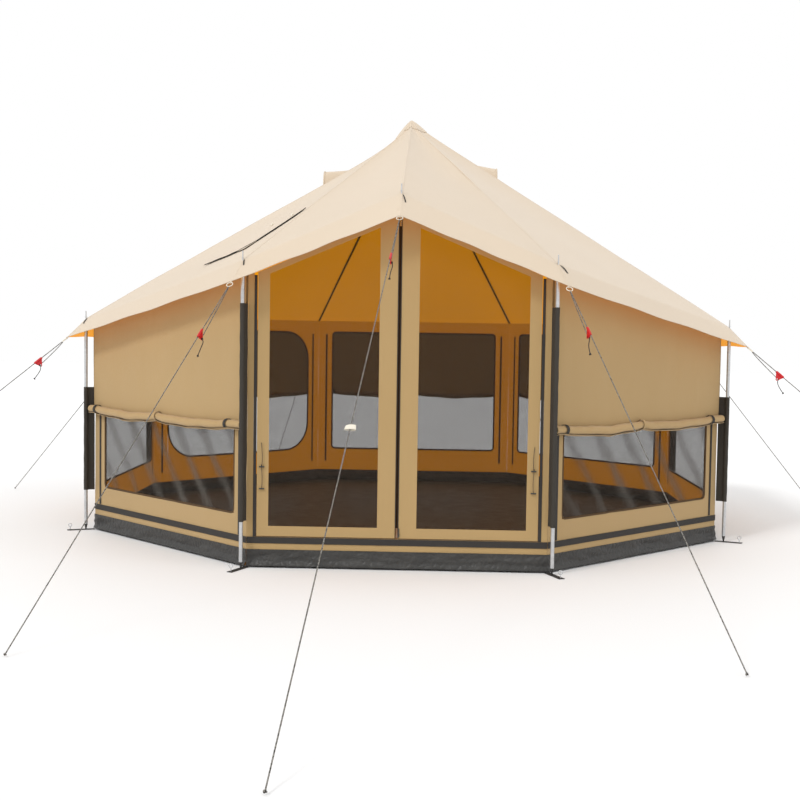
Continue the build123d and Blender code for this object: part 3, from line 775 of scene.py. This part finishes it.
class TENT_OT_covers(bpy.types.Operator):
    """Window covers, hung from the eave and rolled to half height, with their ties"""
    bl_idname = "tent.covers"
    bl_label = "Window covers"

    def execute(self, context):
        scallop = context.scene.tent_sizes.scallop
        for name, degrees in WALLS.items():
            def hung(u, v, degrees=degrees):
                along = (u - 0.5) * 2 * ROLL_HALF
                high = wall_top(degrees, along, FLAP_AT)
                low = ROLL_Z + 0.012 - scallop * roll_sag(along / ROLL_HALF)
                z = low + (high - low) * v
                fold = 0.5 + 0.5 * noise.noise(Vector((along * 6, z * 1.2, degrees)))
                fine = 0.5 + 0.5 * noise.noise(Vector((along * 24, z * 5, degrees + 3)))
                depth = FLAP_AT + 0.004 + (0.014 * fold + 0.004 * fine) * (1 - v) ** 0.5 * (v + 0.25)
                return wall_point(degrees, along, depth, z)
            # The cover's back, facing the wall, carries painted shade and a faint painted glow.
            cover = cloth(f"cover_{name}", 90, 36, hung, [MATERIALS["wall"], MATERIALS["cover_lining"]])
            still = min(wall_top(degrees, along, FLAP_AT) for along in (-ROLL_HALF, ROLL_HALF)) - 0.02
            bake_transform(cover)
            tell([f"wall_flap_{name}"])

            def rolled(u, v, degrees=degrees):
                along = (u - 0.5) * 2 * ROLL_HALF
                loose = roll_sag(along / ROLL_HALF)
                swell = 0.95 + 0.17 * loose
                wobble = 0.0045 * noise.noise(Vector((along * 16, v * 7, degrees)))
                radius = (0.006 + 0.0275 * v) * swell + wobble * v
                turn = (2 * math.pi * ROLL_TURNS * v + math.radians(60)
                        + 0.25 * noise.noise(Vector((along * 3, 0, degrees))))
                depth = ROLL_AT + radius * math.cos(turn)
                return wall_point(degrees, along, depth,
                                  ROLL_Z - scallop * 0.8 * loose + radius * math.sin(turn))
            roll = cloth(f"roll_{name}_cloth", 100, 84, rolled, [MATERIALS["wall"]], 0.0014)
            sewn(roll, f"roll_{name}", [f"wall_roll_{name}"])
            bands = []
            for tie in TIES:
                finish = "tape" if abs(tie) > 0.8 else "wall"

                def band(u, v, degrees=degrees, tie=tie):
                    turn = 2 * math.pi * u
                    along = tie * ROLL_HALF + (v - 0.5) * 0.024
                    return wall_point(degrees, along, ROLL_AT + 0.0332 * math.cos(turn),
                                      ROLL_Z + 0.0332 * math.sin(turn))
                bands.append(cloth(f"band_{name}_{tie}", 28, 3, band, [MATERIALS[finish]], 0.0016,
                                   wall_point(degrees, 0, ROLL_AT, ROLL_Z), close=True))
            ties = joined(f"ties_{name}", bands)
            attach(ties, f"roll_{name}")
        return {"FINISHED"}


# ---- Door --------------------------------------------------------------------------------------
def leaf_top(x):
    """Sloping top edge of a door leaf."""
    return 1.91 + 0.426 * (MESH_OUT - abs(x))


class TENT_OT_door(bpy.types.Operator):
    """Gabled door wall and its two netted leaves"""
    bl_idname = "tent.door"
    bl_label = "Door"

    def execute(self, context):
        skin = [MATERIALS["wall"], MATERIALS["wall_lining"]]
        edge, facing = HALF_WALL - 0.0005, -90.0

        def head(x):
            if abs(x) < 0.47:
                return 2.336 - (2.336 - 2.166) * abs(x) / 0.47
            first, second = (RIDGES[0], RIDGES[1]) if x > 0 else (RIDGES[8], RIDGES[0])
            return facet(first, second, x, -WALL_OUT) - 0.008
        parts = [patch("sill", facing, [(-edge, TUB_Z), (edge, TUB_Z)], [(-edge, SILL_Z), (edge, SILL_Z)],
                       48, 5, skin)]
        for side in (-1, 1):
            a, b = sorted((side * (HINGE_X + 0.022), side * edge))
            parts.append(patch(f"post_{side}", facing, [(a, SILL_Z), (b, SILL_Z)],
                               [(a, head(a)), (b, head(b))], 5, 60, skin))
            for inner, outer in ((0.0, 0.47), (0.47, HINGE_X + 0.021)):
                a, b = sorted((side * inner, side * outer))
                parts.append(patch(f"head_{side}_{inner}", facing,
                                   [(a, leaf_top(a) + 0.006), (b, leaf_top(b) + 0.006)],
                                   [(a, head(a)), (b, head(b))], 24, 6, skin))
        sewn(joined("door_wall_cloth", parts), "root", ["door_wall_frame"])
        for name, side in (("left", -1), ("right", 1)):
            hinge, free = side * (HINGE_X - 0.001), side * LEAF_FREE_X
            out, near, low = side * MESH_OUT, side * MESH_IN, SILL_Z + 0.005
            panels = []
            for a, b, z, high_a, high_b in (
                    (hinge, free, low, MESH_LOW, MESH_LOW),
                    (hinge, out, MESH_LOW, leaf_top(hinge), leaf_top(out)),
                    (near, free, MESH_LOW, leaf_top(near), leaf_top(free))):
                ends = sorted(((a, high_a), (b, high_b)))
                panels.append(patch(f"leaf_{name}_{a:.2f}", facing,
                                    [(ends[0][0], z), (ends[1][0], z)], ends,
                                    12, 60, skin))
            ends = sorted((out, near))
            panels.append(patch(f"rail_{name}", facing, [(x, leaf_top(x) - 0.04) for x in ends],
                                [(x, leaf_top(x)) for x in ends], 24, 3, skin))
            sewn(joined(f"leaf_cloth_{name}", panels), f"door_{name}", [f"door_leaf_{name}"])
            net = patch(f"leaf_net_{name}", facing, [(x, MESH_LOW) for x in ends],
                        [(x, leaf_top(x) - 0.04) for x in ends], 30, 60, [MATERIALS["net"]],
                        WALL_OUT - 0.001, 0.006)
            sewn(net, f"door_{name}", [f"door_mesh_{name}"])
            dress(f"door_zip_{name}", "tape")
            ties = []
            for top in (0.80, 0.66):
                x, y = side * (HINGE_X - 0.03), -WALL_OUT - 0.005
                line = [Vector((x, y, top)), Vector((x - side * 0.012, y - 0.004, top - 0.09)),
                        Vector((x - side * 0.004, y - 0.003, top - 0.15))]
                bar = [line[-1] + Vector((dx, 0, -0.004)) for dx in (-0.017, 0.0, 0.017)]
                ties += [tube(f"tie_{name}_{top}", line, 0.0018, MATERIALS["tape"]),
                         tube(f"bar_{name}_{top}", bar, 0.0045, MATERIALS["foot"])]
            toggles = joined(f"door_toggles_{name}", ties)
            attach(toggles, f"door_{name}")
        dress("door_zip_slider", "foot")
        return {"FINISHED"}


# ---- Groundsheet -------------------------------------------------------------------------------
FLOOR_SHARE = 0.82                     # share of the groundsheet's rows that lies flat


class TENT_OT_groundsheet(bpy.types.Operator):
    """Groundsheet with its upturned, crinkled edge"""
    bl_idname = "tent.groundsheet"
    bl_label = "Groundsheet"

    def execute(self, context):
        def place(u, v):
            turn = u * 8
            k = min(7, int(turn))
            f = turn - k
            start = -112.5 + 45 * k
            a, b = polar(CORNER_R, start), polar(CORNER_R, start + 45)
            rim = a.lerp(b, f)
            out = polar(1, start + 22.5)
            if v <= FLOOR_SHARE:
                p = rim * (v / FLOOR_SHARE)
                p.z = 0.0035 + 0.003 * (0.5 + 0.5 * noise.noise(p * 6)) * min(1, (1 - v / FLOOR_SHARE) * 20)
                return p
            w = (v - FLOOR_SHARE) / (1 - FLOOR_SHARE)
            crinkle = noise.noise(Vector((rim.x * 9, rim.y * 9, w * 2.5))) * 0.013
            fine = noise.noise(Vector((rim.x * 26, rim.y * 26, w * 6))) * 0.006
            bulge = 0.006 + 0.016 * (1 - w) ** 1.4 * math.sin(math.pi * min(1, w * 2 + 0.25))
            ease = math.sin(math.pi * w) * 1.2
            p = rim + out * (bulge + (crinkle + fine) * ease)
            p.z = 0.0035 + (TUB_Z - 0.001) * w
            return p
        sheet = cloth("groundsheet_cloth", 8 * 40, 60, place, [MATERIALS["sheet"]], 0.0015,
                      inside=(0, 0, 0.6), close=True)
        sewn(sheet, "root", ["groundsheet_wall", "groundsheet_floor"])
        return {"FINISHED"}


# ---- Poles and fittings ------------------------------------------------------------------------
class TENT_OT_poles(bpy.types.Operator):
    """Steel poles, their cloth sleeves, feet, straps, pegs and rings"""
    bl_idname = "tent.poles"
    bl_label = "Poles"

    def execute(self, context):
        for node, finish in {"centre_pole": "steel", "door_pole": "steel", "corner_poles": "steel",
                             "pole_spikes": "steel", "pole_feet": "foot", "ring_pegs": "steel",
                             "base_straps": "tape", "eave_rings": "ring"}.items():
            dress(node, finish)
        sleeves = []
        for k, ridge in enumerate(RIDGES):
            low, high = (0.26, 2.18) if k == 0 else (0.3, 1.68) if k in (1, 8) else (0.3, 1.07)

            def place(u, v, ridge=ridge, low=low, high=high, k=k):
                turn = 2 * math.pi * u
                z = low + (high - low) * v
                radius = 0.0143 + 0.0035 * (
                    0.5 + 0.5 * noise.noise(Vector((math.cos(turn) * 2, z * 14, k))))
                return (ridge.at(ridge.pole_r, z)
                        + Vector((math.cos(turn), math.sin(turn), 0)) * radius)
            centre = ridge.at(ridge.pole_r, (low + high) / 2)
            sleeves.append(cloth(f"sleeve_{k}", 24, 90, place, [MATERIALS["sleeve"]], 0.0012, centre,
                                 close=True))
            if k:
                def web(u, v, ridge=ridge, low=low, high=high, k=k):
                    z = low + (high - low) * v
                    side = Vector((-math.sin(ridge.angle), math.cos(ridge.angle), 0))
                    sway = 0.003 * noise.noise(Vector((z * 6, k, 0)))
                    return ridge.at(CORNER_R + 0.006 + 0.05 * u, z) + side * sway
                sleeves.append(cloth(f"web_{k}", 4, 40, web, [MATERIALS["sleeve"]], 0.0014))
        sewn(joined("sleeve_cloth", sleeves), "root", ["pole_sleeves"])
        tails = []
        for k, ridge in enumerate(RIDGES):
            def tail(u, v, k=k):
                row = POLE_AT + 0.006 + 0.036 * v
                return roof_point((k / 9 + 0.0012 + 0.002 * v + (u - 0.5) * 0.0008) % 1, row,
                                  0.003 + 0.006 * math.sin(math.pi * v))
            tails.append(cloth(f"strap_tail_{k}", 2, 12, tail, [MATERIALS["tape"]], 0.0016,
                               inside=(0, 0, 0)))
        straps = joined("spike_straps", tails)
        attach(straps, "root")
        return {"FINISHED"}


# ---- Guy ropes ---------------------------------------------------------------------------------
class TENT_OT_guys(bpy.types.Operator):
    """Taut guy ropes from the eave rings to the ground, each with its tensioner and tail"""
    bl_idname = "tent.guys"
    bl_label = "Guy ropes"

    def label(self, centre, way):
        """A small cream cloth label folded round a rope."""
        side = Vector((way.y, -way.x, 0)).normalized()
        front = way.cross(side)

        def place(u, v):
            turn = 2 * math.pi * u
            wide, deep = math.cos(turn), math.sin(turn)
            round_rope = side * wide * (0.024 + 0.004 * v) + front * deep * (0.0055 - 0.001 * wide)
            return centre + round_rope + way * (v - 0.5) * 0.036 + front * 0.003 * noise.noise(
                Vector((wide * 2, v * 3, 4.0)))
        tag = cloth("rope_label", 28, 8, place, [MATERIALS["ring"]], 0.001, tuple(centre), close=True)
        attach(tag, "root")
        return tag

    def execute(self, context):
        for name, (index, ground) in GUYS.items():
            ridge = RIDGES[index]
            tip = ridge.tip() - Vector((0, 0, 0.005))
            knot = Vector((*ground, 0.012))
            ring = tip + (knot - tip).normalized() * RING_REACH
            way = (knot - ring).normalized()
            start = ring + way * 0.0245
            runner = NODES[f"guy_tensioner_{name}"]
            low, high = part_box(f"guy_tensioner_{name}")
            centre = (low + high) / 2
            at = (centre - ring).dot(way)
            inward = (centre - ring - way * at).normalized()
            curve = bpy.data.curves.new(f"rope_{name}", "CURVE")
            curve.dimensions, curve.bevel_depth, curve.bevel_resolution = "3D", ROPE_D / 2, 3
            curve.use_fill_caps = True
            spline = curve.splines.new("NURBS")
            points = [start, start + way * 0.036, knot - way * 0.036, knot]
            spline.points.add(len(points) - 1)
            for slot, point in zip(spline.points, points):
                slot.co = (*point, 1)
            spline.order_u, spline.use_endpoint_u = 3, True
            rope = bpy.data.objects.new(f"rope_{name}", curve)
            context.collection.objects.link(rope)
            curve.materials.append(MATERIALS["rope"])
            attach(rope, "root")
            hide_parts(f"guy_rope_{name}")
            eye = knot_points(knot, way, 0.0062)
            end_knot = tube(f"rope_knot_{name}", eye, 0.0026, MATERIALS["rope"], closed=True)
            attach(end_knot, "root")
            loop = [ring + way * 0.02 + inward * 0.0, ring + way * 0.016, ring + way * 0.024 + inward * 0.007,
                    ring + way * (at * 0.5) + inward * 0.022, ring + way * (at - 0.002) + inward * 0.033]
            strand = tube(f"rope_return_{name}", loop, 0.0027, MATERIALS["rope"])
            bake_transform(strand)
            hole = ring + way * (at + 0.008) + inward * 0.034
            side = way.cross(inward)
            down = Vector((0, 0, -1))
            tail = tube(f"rope_tail_{name}", [hole - side * 0.006, hole + side * 0.008, hole + side * 0.012
                        + inward * 0.012 + down * 0.01, hole + way * 0.02 + inward * 0.016 + down * 0.03,
                        hole + way * 0.055 + inward * 0.012 + down * 0.05], 0.0027, MATERIALS["tape"])
            stop = tube(f"tail_knot_{name}",
                        knot_points(hole + way * 0.058 + inward * 0.012 + down * 0.053, way, 0.006),
                        0.0024, MATERIALS["tape"], closed=True)
            bead = tube(f"bead_{name}", knot_points(hole + side * 0.008, side, 0.006), 0.0024,
                        MATERIALS["tape"], closed=True)
            tail = joined(f"rope_tail_{name}", [tail, stop, bead])
            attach(tail, f"tensioner_{name}")
            dress(runner.name, "runner")
            if name == "front":
                self.label(ring + way * 2.2, way)
            loop = tube(f"ring_loop_{name}", [tip + Vector((0, 0, 0.004)) - way * 0.02, tip + way * 0.002,
                        ring - way * 0.019 + inward * 0.004, ring - way * 0.02 - inward * 0.004,
                        tip + way * 0.001 - inward * 0.003], 0.0045, MATERIALS["roof"])
            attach(loop, "root")
        return {"FINISHED"}


STEPS = ("stage", "guys", "roof", "peak", "hoods", "stove", "walls", "covers", "door",
         "groundsheet", "poles")
CLASSES = (TentColours, TentSizes, TENT_OT_stage, TENT_OT_guys, TENT_OT_roof, TENT_OT_peak, TENT_OT_hoods,
           TENT_OT_stove, TENT_OT_walls, TENT_OT_covers, TENT_OT_door, TENT_OT_groundsheet, TENT_OT_poles)


class TENT_PT_panel(bpy.types.Panel):
    """Lists the tent's pieces and their sizes"""
    bl_idname = "TENT_PT_panel"
    bl_label = "Bell tent"
    bl_space_type = "VIEW_3D"
    bl_region_type = "UI"
    bl_category = "Tent"

    def draw(self, context):
        for group in (context.scene.tent_colours, context.scene.tent_sizes):
            for key in group.bl_rna.properties.keys():
                if key not in ("rna_type", "name"):
                    self.layout.prop(group, key)
        for step in STEPS:
            self.layout.operator(f"tent.{step}")


def register():
    for cls in (*CLASSES, TENT_PT_panel):
        bpy.utils.register_class(cls)
    bpy.types.Scene.tent_colours = bpy.props.PointerProperty(type=TentColours)
    bpy.types.Scene.tent_sizes = bpy.props.PointerProperty(type=TentSizes)


def unregister():
    del bpy.types.Scene.tent_colours, bpy.types.Scene.tent_sizes
    for cls in reversed((*CLASSES, TENT_PT_panel)):
        bpy.utils.unregister_class(cls)


def main():
    register()
    materials(bpy.context.scene.tent_colours)
    for step in STEPS:
        getattr(bpy.ops.tent, step)()


if __name__ == "__main__":
    main()
